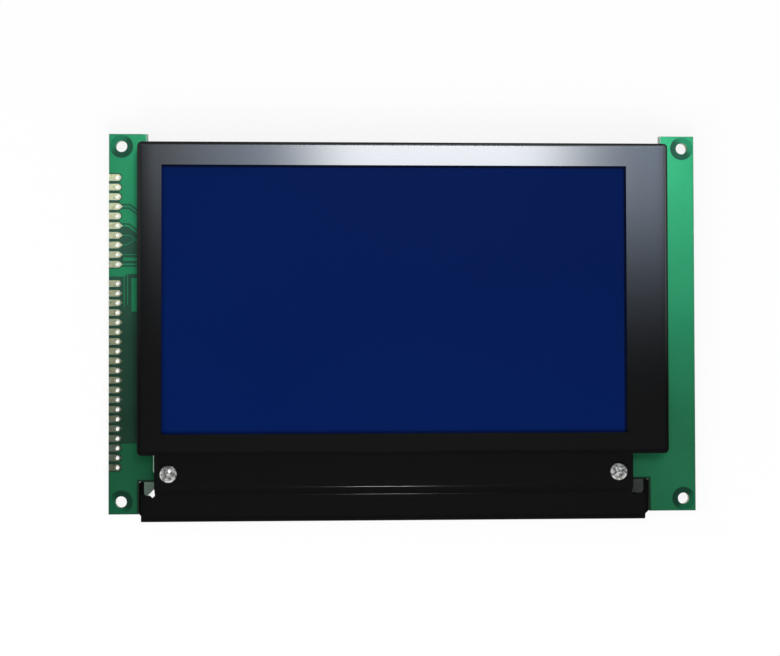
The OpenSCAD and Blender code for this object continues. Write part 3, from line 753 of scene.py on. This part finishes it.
def upper_pour():
    outline = [(edge_left, edge_top), (ear_left, edge_top), (ear_left, above_bezel)]
    outline += [(beside_bezel_left, above_bezel)]
    outline += lane_edge(fourth_track, 1)[::-1]
    outline += round_pad(3, LANE_ANGLE, WEDGE_ANGLE)[1:]
    for place in (2, 1, 0):
        outline += round_pad(place, -WEDGE_ANGLE, WEDGE_ANGLE)
    above_pads = first_pad_y + PAD_CLEAR_R
    outline += [(pad_x, above_pads), (edge_left, above_pads)]
    return [outline, circle((-hole_x, hole_y), BARE_DISC_R)]


def middle_pour():
    outline = lane_edge(fourth_track, -1)
    outline += lane_edge(sixth_track, 1)[::-1]
    outline += round_pad(5, LANE_ANGLE, WEDGE_ANGLE)[1:]
    outline += round_pad(4, -WEDGE_ANGLE, WEDGE_ANGLE)
    outline += round_pad(3, -WEDGE_ANGLE, -LANE_ANGLE)[:-1]
    return [outline]


def link_pour():
    """Copper in the gap between the two rows of pads."""
    top_y = pad_y(9) - PAD_CLEAR_R
    low_y = pad_y(EMPTY_PLACE) - 0.02
    step_x = -73.0
    slant = 0.65
    outline = [(edge_left, top_y), (pad_x, top_y)]
    outline += round_pad(9, -WEDGE_ANGLE, -LANE_ANGLE)
    outline += [(beside_bezel_left, pad_y(9) - LANE), (beside_bezel_left, low_y)]
    outline += [(step_x, low_y), (step_x - slant, low_y - slant), (edge_left, low_y - slant)]
    return [outline]


def lower_left_pour():
    top = pad_y(28) + PAD_CLEAR_R
    below_pads = pad_y(LAST_PLACE) - PAD_CLEAR_R
    outline = [(beside_bezel_left, top), (beside_bezel_left, below_bezel)]
    outline += [(beside_frame_left, below_bezel), (beside_frame_left, above_notch)]
    outline += [(notch_left, above_notch), (notch_left, edge_bottom), (edge_left, edge_bottom)]
    outline += [(edge_left, below_pads), (pad_x, below_pads)]
    for place in (30, 29, 28):
        outline += round_pad(place, -WEDGE_ANGLE, WEDGE_ANGLE)
    return [outline, circle((-hole_x, -hole_y), BARE_DISC_R)]


def right_pour():
    outline = [(ear_right, edge_top), (edge_right, edge_top), (edge_right, edge_bottom)]
    outline += [(notch_right, edge_bottom), (notch_right, above_notch)]
    outline += [(beside_frame_right, above_notch), (beside_frame_right, below_bezel)]
    outline += [(beside_bezel_right, below_bezel), (beside_bezel_right, above_bezel)]
    outline += [(ear_right, above_bezel)]
    discs = [circle((hole_x, side * hole_y), BARE_DISC_R) for side in (1, -1)]
    return [outline] + discs


STRIP_LEFT = -71.86
bands = [
    [rectangle(-74.0, 16.54, beside_bezel_left, 17.38)],
    [rectangle(STRIP_LEFT, 3.2, beside_bezel_left, 12.0)],
]
front_shapes = [upper_pour(), middle_pour(), link_pour(), lower_left_pour(), right_pour()] + bands
flat_piece("front_copper", front_shapes, board_high.z, COPPER_T, copper_finish)

wide_tracks = [fourth_track, sixth_track, tenth_track]
downward_tracks = [[(-73.75, 12.4), (-73.75, 4.3)], [(-72.87, 12.9), (-72.87, 5.0)]]
thin_tracks = [seventh_track, eighth_track, ninth_track] + downward_tracks
front_tracks = [[ribbon(path, TRACK_W)] for path in wide_tracks]
front_tracks += [[ribbon(path, THIN_TRACK_W)] for path in thin_tracks]
flat_piece("front_tracks", front_tracks, board_high.z, COPPER_T, copper_finish)


# Copper, print and solder on the back

BACK_TRACK_W = 0.24
VIA_R = 0.32
VIA_HOLE_R = 0.14
BUS_LINES = 6
BUS_Y = 13.2
BUS_STEP = 0.6
SIDE_TABS = (-22.35, 6.45, 35.25)
TAB_CLEAR = 2.4
CHIP_PITCH = 3.65
CHIP_HALF_W = 0.625
CHIP_HALF_L = 1.0
LAND_REACH = 0.55
MEMORY_LEADS = 14
MEMORY_PITCH = 0.55
AMPLIFIER_LEADS = 7
AMPLIFIER_PITCH = 1.27
UNDER_LEAD = 0.4
COLUMN_DRIVERS = ["column_driver_left", "column_driver_middle", "column_driver_right"]
ROW_DRIVERS = ["row_driver_upper", "row_driver_lower"]

back_tracks = []
via_places = []


def from_middle(count, pitch):
    """Distances of evenly spaced places from their middle."""
    return [(index - (count - 1) / 2) * pitch for index in range(count)]


def track(path, width=BACK_TRACK_W):
    back_tracks.append([ribbon(path, width)])


def via_track(path, width=BACK_TRACK_W):
    """A track whose last point is a via."""
    track(path, width)
    via_places.append(path[-1])


def column_driver_tracks(node):
    """Outputs fan out to vias near the top edge; inputs go to vias beside the bus."""
    centre = middle_mm(node)
    under_resin, bus_aside = 6, 6
    outputs, near_pitch, far_pitch, input_pitch = 22, 0.6, 0.9, 1.1
    fan_start, fan_end, output_row, input_row = 37.5, 40.2, 41.5, 17.6
    start_y = centre.y + under_resin
    for index, side in enumerate(from_middle(outputs, 1)):
        near_x = centre.x + side * near_pitch
        far_x = centre.x + side * far_pitch
        end_y = output_row + index % 2
        via_track([(near_x, start_y), (near_x, fan_start), (far_x, fan_end), (far_x, end_y)])
    for line, side in enumerate(from_middle(BUS_LINES, input_pitch)):
        x = centre.x + side
        via_track([(x, centre.y - under_resin), (x, input_row)])
        via_places.append((x + bus_aside, BUS_Y + line * BUS_STEP))


def row_driver_tracks(node):
    """Outputs fan out to vias near the right edge; inputs come from vias on the left."""
    centre = middle_mm(node)
    start_x, input_x = centre.x + 4.5, centre.x - 5
    outputs, near_pitch, far_pitch, input_pitch = 16, 0.62, 0.95, 0.8
    fan_start, fan_end, output_column, input_column = 59.5, 62.0, 63.2, 42.0
    for index, side in enumerate(from_middle(outputs, 1)):
        near_y = centre.y + side * near_pitch
        far_y = centre.y + side * far_pitch
        end_x = output_column + index % 2
        via_track([(start_x, near_y), (fan_start, near_y), (fan_end, far_y), (end_x, far_y)])
    for index, side in enumerate(from_middle(BUS_LINES, input_pitch)):
        y = centre.y + side
        via_track([(input_x, y), (input_column - index % 2, y)])


def bus_tracks():
    """Lines from the controller past the column drivers to the upper row driver, then to the lower."""
    start = middle_mm("display_controller")
    upper = middle_mm("row_driver_upper")
    lower = middle_mm("row_driver_lower")
    pitch, bend = 0.7, 3
    under_controller, under_driver = 8, 5
    for line, side in enumerate(from_middle(BUS_LINES, pitch)):
        y = BUS_Y + line * BUS_STEP
        left_x = start.x - side
        right_x = upper.x + side
        left = [(left_x, start.y + under_controller), (left_x, y - bend), (left_x + bend, y)]
        right = [(right_x - bend, y), (right_x, y - bend), (right_x, upper.y + under_driver)]
        track(left + right)
        track([(right_x, upper.y - under_driver), (right_x, lower.y + under_driver)])


def terminal_tracks():
    """Tracks from the pads to the controller; a via takes over where a bezel tab is in the way."""
    centre = middle_mm("display_controller")
    turn_x = centre.x - 10.5
    end_x = centre.x - 7
    via_x = -72.2
    count, pitch = 16, -0.75
    for place, side in enumerate(from_middle(count, pitch), EMPTY_PLACE + 1):
        start_y = pad_y(place)
        end_y = centre.y + side
        turn_start = turn_x - abs(start_y - end_y)
        beside_tab = start_y - max(0, bezel_low.x - turn_start)
        if any(abs(beside_tab - tab_y) < TAB_CLEAR for tab_y in SIDE_TABS):
            via_track([(pad_tip_x, start_y), (via_x, start_y)])
        else:
            track([(pad_tip_x, start_y), (turn_start, start_y), (turn_x, end_y), (end_x, end_y)])


def memory_tracks():
    """Left leads to the controller, right leads to two rows of vias."""
    low, high = box_mm("memory_chip")
    controller = middle_mm("display_controller")
    fan_start, fan_end, via_column = low.x - 2, low.x - 4.5, high.x + 2.4
    far_pitch = 0.75
    end_x = controller.x + 7
    for index, side in enumerate(from_middle(MEMORY_LEADS, 1)):
        y = controller.y + side * MEMORY_PITCH
        far_y = controller.y + side * far_pitch
        track([(low.x + UNDER_LEAD, y), (fan_start, y), (fan_end, far_y), (end_x, far_y)])
        via_track([(high.x - UNDER_LEAD, y), (via_column + index % 2, y)])


def amplifier_tracks():
    """Every lead to a via of its own, near and far by turns."""
    low, high = box_mm("bias_amplifier")
    near, further = 2, 1.2
    for index, side in enumerate(from_middle(AMPLIFIER_LEADS, AMPLIFIER_PITCH)):
        y = (low.y + high.y) / 2 + side
        reach = near + further * (index % 2)
        via_track([(low.x + UNDER_LEAD, y), (low.x - reach, y)])
        via_track([(high.x - UNDER_LEAD, y), (high.x + reach, y)])


resistors = middle_mm("chip_resistors")
capacitors = middle_mm("chip_capacitors")
RESISTORS = 10
CAPACITORS = 8
resistor_places = [(resistors.x + side, resistors.y) for side in from_middle(RESISTORS, CHIP_PITCH)]
capacitor_places = [(capacitors.x + side, capacitors.y) for side in from_middle(CAPACITORS, CHIP_PITCH)]


def ladder_tracks():
    """The resistors in one chain; the capacitors between vias and a common rail."""
    wide, rail_w = 0.45, 1.0
    end = CHIP_HALF_L + 0.2
    to_via = 1.6
    rail_y = capacitors.y + 3
    rail_end = 2
    columns = [x for x, y in resistor_places]
    for index, (x, after_x) in enumerate(zip(columns, columns[1:])):
        level = resistors.y + end if index % 2 else resistors.y - end
        track([(x, level), (after_x, level)], wide)
    for x, y in (resistor_places[0], resistor_places[-1]):
        via_track([(x, y + end), (x, y + end + to_via)], wide)
    for x, y in capacitor_places:
        track([(x, y + end), (x, rail_y)], wide)
        via_track([(x, y - end), (x, y - end - to_via)], wide)
    rail_left = capacitor_places[0][0] - rail_end
    rail_right = capacitor_places[-1][0] + rail_end
    track([(rail_left, rail_y), (rail_right, rail_y)], rail_w)


def ground_pours():
    """Copper along the lower and right edges and in the two left corners, bare round the holes."""
    left_x, top_y = -62.0, -33.0
    inner_x = bezel_high.x + 0.9
    slant, wide_slant = 3, 6
    outline = [(inner_x, edge_top), (edge_right, edge_top), (edge_right, edge_bottom)]
    outline += [(notch_right, edge_bottom), (notch_right, above_notch), (left_x, above_notch)]
    outline += [(left_x, top_y - slant), (left_x + slant, top_y)]
    outline += [(inner_x - wide_slant, top_y), (inner_x, top_y + wide_slant)]
    discs = [circle((hole_x, side * hole_y), BARE_DISC_R) for side in (1, -1)]
    above_pads = first_pad_y + PAD_CLEAR_R
    below_pads = pad_y(LAST_PLACE) - PAD_CLEAR_R
    upper_left = [rectangle(edge_left, above_pads, ear_left, edge_top)]
    upper_left += [circle((-hole_x, hole_y), BARE_DISC_R)]
    lower_left = [rectangle(edge_left, edge_bottom, notch_left, below_pads)]
    lower_left += [circle((-hole_x, -hole_y), BARE_DISC_R)]
    return [[outline] + discs, upper_left, lower_left]


def printed_lines():
    """White rings round the resin, lines beside the packages and the small chips."""
    line_w, dot_r, dot_aside = 0.3, 0.35, 0.2
    ring_points, dot_points = 72, 20
    from_resin, from_package, from_chip = 0.9, 0.6, 1.1
    shapes = []
    for node in COLUMN_DRIVERS + ROW_DRIVERS + ["display_controller"]:
        low, high = box_mm(node)
        centre = middle_mm(node)
        radius = (high.x - low.x) / 2 + from_resin
        shapes.append([circle(centre, radius + line_w, ring_points), circle(centre, radius, ring_points)])
    for node, half in (("memory_chip", MEMORY_BODY_HALF), ("bias_amplifier", AMPLIFIER_BODY_HALF)):
        low, high = box_mm(node)
        x = middle_mm(node).x
        for y in (low.y - from_package, high.y + from_package):
            shapes.append([ribbon([(x - half, y), (x + half, y)], line_w)])
        shapes.append([circle((low.x - dot_aside, high.y + from_package), dot_r, dot_points)])
    for x, y in resistor_places + capacitor_places:
        for line_x in (x - from_chip, x + from_chip):
            shapes.append([ribbon([(line_x, y - CHIP_HALF_L), (line_x, y + CHIP_HALF_L)], line_w)])
    return shapes


def solder_lands():
    """Tinned lands under the leads and under the ends of the small chips."""
    shapes = []
    inwards, outwards = 0.6, 0.35
    memory_leads = ("memory_chip", MEMORY_LEADS, MEMORY_PITCH, 0.3)
    amplifier_leads = ("bias_amplifier", AMPLIFIER_LEADS, AMPLIFIER_PITCH, 0.6)
    for node, count, pitch, width in (memory_leads, amplifier_leads):
        low, high = box_mm(node)
        for side in from_middle(count, pitch):
            y = (low.y + high.y) / 2 + side
            below, above = y - width / 2, y + width / 2
            shapes.append([rectangle(low.x - outwards, below, low.x + inwards, above)])
            shapes.append([rectangle(high.x - inwards, below, high.x + outwards, above)])
    half_w = CHIP_HALF_W + 0.1
    near, far = 0.6, CHIP_HALF_L + LAND_REACH
    for x, y in resistor_places + capacitor_places:
        shapes.append([rectangle(x - half_w, y + near, x + half_w, y + far)])
        shapes.append([rectangle(x - half_w, y - far, x + half_w, y - near)])
    return shapes


def solder_fillets():
    """Concave solder from the lands up both ends of every small chip."""
    mesh = bmesh.new()
    arc_steps = 6
    angles = [math.pi / 2 * step / arc_steps for step in range(arc_steps + 1)]
    run = LAND_REACH - 0.05
    for places, rise in ((resistor_places, 0.32), (capacitor_places, 0.55)):
        curve = [(run - run * math.cos(a), rise - rise * math.sin(a)) for a in angles]
        profile = [(0, 0)] + curve
        for x, y in places:
            for side in (1, -1):
                ends = []
                for edge in (x - CHIP_HALF_W, x + CHIP_HALF_W):
                    points = [(edge, y + side * (CHIP_HALF_L + out), -height) for out, height in profile]
                    ends.append([mesh.verts.new(Vector(point) * MM) for point in points])
                left, right = ends
                mesh.faces.new(left)
                mesh.faces.new(right)
                for index in range(len(profile)):
                    mesh.faces.new([left[index - 1], left[index], right[index], right[index - 1]])
    board_piece("solder_fillets", mesh, solder_finish)


for driver in COLUMN_DRIVERS:
    column_driver_tracks(driver)
for driver in ROW_DRIVERS:
    row_driver_tracks(driver)
bus_tracks()
terminal_tracks()
memory_tracks()
amplifier_tracks()
ladder_tracks()
LAND_T = COPPER_T + 0.01
PRINT_T = COPPER_T + 0.02
vias = [[circle(place, VIA_R, 16), circle(place, VIA_HOLE_R, 10)] for place in via_places]
flat_piece("back_copper", ground_pours(), -COPPER_T, COPPER_T, copper_finish)
flat_piece("back_tracks", back_tracks, -COPPER_T, COPPER_T, copper_finish)
flat_piece("via_lands", vias, -LAND_T, LAND_T, copper_finish)
flat_piece("printed_lines", printed_lines(), -PRINT_T, PRINT_T, ink_finish)
flat_piece("solder_lands", solder_lands(), -LAND_T, LAND_T, tin_finish)
solder_fillets()


# Stage, light and camera

def studio_floor():
    """A wide pale floor that curls up at its rim."""
    inner_r, flat_r, curl_r = 0.3, 2.2, 0.9
    curl_steps, rim_points = 16, 96
    angles = [FULL_TURN * index / rim_points for index in range(rim_points)]
    profile = [(inner_r, 0.0), (flat_r, 0.0)]
    for step in range(1, curl_steps + 1):
        angle = math.pi / 2 * step / curl_steps
        profile.append((flat_r + curl_r * math.sin(angle), curl_r * (1 - math.cos(angle))))
    mesh = bmesh.new()
    rings = []
    for radius, height in profile:
        level = cad_box[0].z + height
        points = [(radius * math.cos(a), radius * math.sin(a), level) for a in angles]
        rings.append([mesh.verts.new(point) for point in points])
    mesh.faces.new(rings[0])
    for inner, outer in zip(rings, rings[1:]):
        for index in range(rim_points):
            after = (index + 1) % rim_points
            mesh.faces.new((inner[index], outer[index], outer[after], inner[after]))
    floor = new_object("studio_floor", mesh, floor_finish())


def floor_finish():
    """White for the eye and for reflections, matt for the light that reaches the module.

    Right beside the module it keeps more of the shadow. It is clear from below and for what lies
    right on it, so that the back can be seen and lit.
    """
    finish = Finish("studio_floor")
    nodes = finish.tree.nodes
    nodes.remove(finish.shader)
    path = finish.node("ShaderNodeLightPath", out="Is Camera Ray")
    seen = path + path.output("Is Glossy Ray") + path.output("Is Transmission Ray")
    cloth = finish.noise(0.05)
    pale = finish.blend(cloth, (0.9, 0.9, 0.9, 1), (0.94, 0.94, 0.94, 1))
    matt = finish.node("ShaderNodeBsdfDiffuse", sockets={0: pale})
    x, y, _ = finish.axes()
    off_board = (abs(x) - hole_x).larger(abs(y) - hole_y)
    seen_share = 0.88 + off_board.step(3, 16) * 0.075
    far = (x * x + y * y).root().step(300, 1300)
    white = finish.blend(far, (1, 1, 1, 1), (0.3, 0.31, 0.32, 1))
    glow = finish.node("ShaderNodeEmission", sockets={"Color": white, "Strength": 1.0})
    top = finish.node("ShaderNodeMixShader", sockets={0: seen * seen_share, 1: matt, 2: glow})
    clear = finish.node("ShaderNodeBsdfTransparent")
    below = finish.node("ShaderNodeNewGeometry", out="Backfacing")
    lying_on = 6 * MM
    close = 1 - (path.output("Ray Length") > lying_on)
    both = finish.node("ShaderNodeMixShader", sockets={0: below.larger(close), 1: top, 2: clear})
    finish.feed(nodes["Material Output"].inputs["Surface"], both)
    return finish


def soft_panel():
    """A soft overhead panel, bright in its middle and fading outwards, which only gloss shows."""
    panel_z = 411
    low, high = (-320, -60), (420, 470)
    mesh = bmesh.new()
    corners = [mesh.verts.new((x * MM, y * MM, panel_z * MM)) for x, y in rectangle(*low, *high)]
    mesh.faces.new(corners)
    panel = new_object("soft_panel", mesh, panel_finish())
    panel.visible_camera = False
    panel.visible_diffuse = False
    panel.visible_shadow = False


def panel_finish():
    """A white glow in the middle of a wider, bluer one, which is dimmer and greyer at the lower left."""
    finish = Finish("soft_panel")
    nodes = finish.tree.nodes
    nodes.remove(finish.shader)
    x, y, _ = finish.axes()

    def falloff(low, high, reach):
        """1 between the two corners, fading to 0 at the reach."""
        beyond_x = (abs(x - (low[0] + high[0]) / 2) - (high[0] - low[0]) / 2).larger(0)
        beyond_y = (abs(y - (low[1] + high[1]) / 2) - (high[1] - low[1]) / 2).larger(0)
        distance = (beyond_x * beyond_x + beyond_y * beyond_y).root()
        fade = 1 - distance.step(0, reach)
        return fade * fade

    def glow(share, colour, strength):
        shown = finish.blend(share, (0, 0, 0, 1), colour)
        return finish.node("ShaderNodeEmission", sockets={"Color": shown, "Strength": strength})

    middle = glow(falloff((2, 95), (84, 235), 72), (0.98, 0.99, 1.0, 1), 9)
    leftwards = 1 - x.step(-130, -40)
    tint = finish.blend(leftwards, (0.66, 0.79, 1.0, 1), (0.78, 0.84, 0.92, 1))
    dim = leftwards * (1 - y.step(50, 100)) * 0.5
    surround = glow(falloff((-46, 105), (166, 235), 142) * (1 - dim), tint, 2.75)
    both = finish.node("ShaderNodeAddShader", sockets={0: middle, 1: surround})
    finish.feed(nodes["Material Output"].inputs["Surface"], both)
    return finish


def square_lamp(name, place, size, radiance, in_gloss=True):
    """A square lamp that faces the module; gloss shows it or leaves it out."""
    lamp = bpy.data.lights.new(name, "AREA")
    lamp.size = size * MM
    lamp.energy = radiance * math.pi * lamp.size ** 2
    lamp_object = bpy.data.objects.new(name, lamp)
    lamp_object.location = Vector(place) * MM
    lamp_object.rotation_mode = "QUATERNION"
    lamp_object.rotation_quaternion = Vector(place).to_track_quat("Z", "Y")
    lamp_object.visible_camera = False
    lamp_object.visible_glossy = in_gloss
    bpy.context.scene.collection.objects.link(lamp_object)


def room_light():
    """Even fill from all round, which gloss sees as a room that is dark above and dim below."""
    fill, gloss_above, gloss_below = 0.42, 0.02, 0.4
    below, above = -0.2, 0.0
    room = Room("room")
    direction = room.node("ShaderNodeTexCoord", out="Generated")
    height = room.node("ShaderNodeSeparateXYZ", sockets={0: direction}, out="Z")
    rise = room.node("ShaderNodeMapRange", sockets={"Value": height, "From Min": below, "From Max": above})
    in_gloss = gloss_below + rise * (gloss_above - gloss_below)
    glossy = room.node("ShaderNodeLightPath", out="Is Glossy Ray")
    room.dress(Color=(0.97, 0.98, 1.0, 1), Strength=fill + glossy * (in_gloss - fill))
    bpy.context.scene.world = room.world


def photo_camera():
    lens = bpy.data.cameras.new("camera")
    lens.lens = CAMERA_LENS
    lens.sensor_width = SENSOR_W
    lens.clip_start = 0.01
    lens.clip_end = 20
    camera = bpy.data.objects.new("camera", lens)
    turn = CAMERA_TURN * math.radians(1)
    camera.location = CAMERA_AT * MM
    camera.rotation_mode = "QUATERNION"
    camera.rotation_quaternion = Quaternion(turn.normalized(), turn.length)
    bpy.context.scene.collection.objects.link(camera)
    bpy.context.scene.camera = camera


studio_floor()
soft_panel()
square_lamp("front_lamp", (17, -235, 410), size=36, radiance=20)
square_lamp("front_fill", (0, -420, 330), size=240, radiance=10.5, in_gloss=False)
square_lamp("left_fill", (-420, 0, 330), size=240, radiance=4, in_gloss=False)
square_lamp("under_lamp", (-100, 120, -450), size=330, radiance=2.2)
room_light()
photo_camera()
bpy.context.scene.view_settings.view_transform = "Standard"
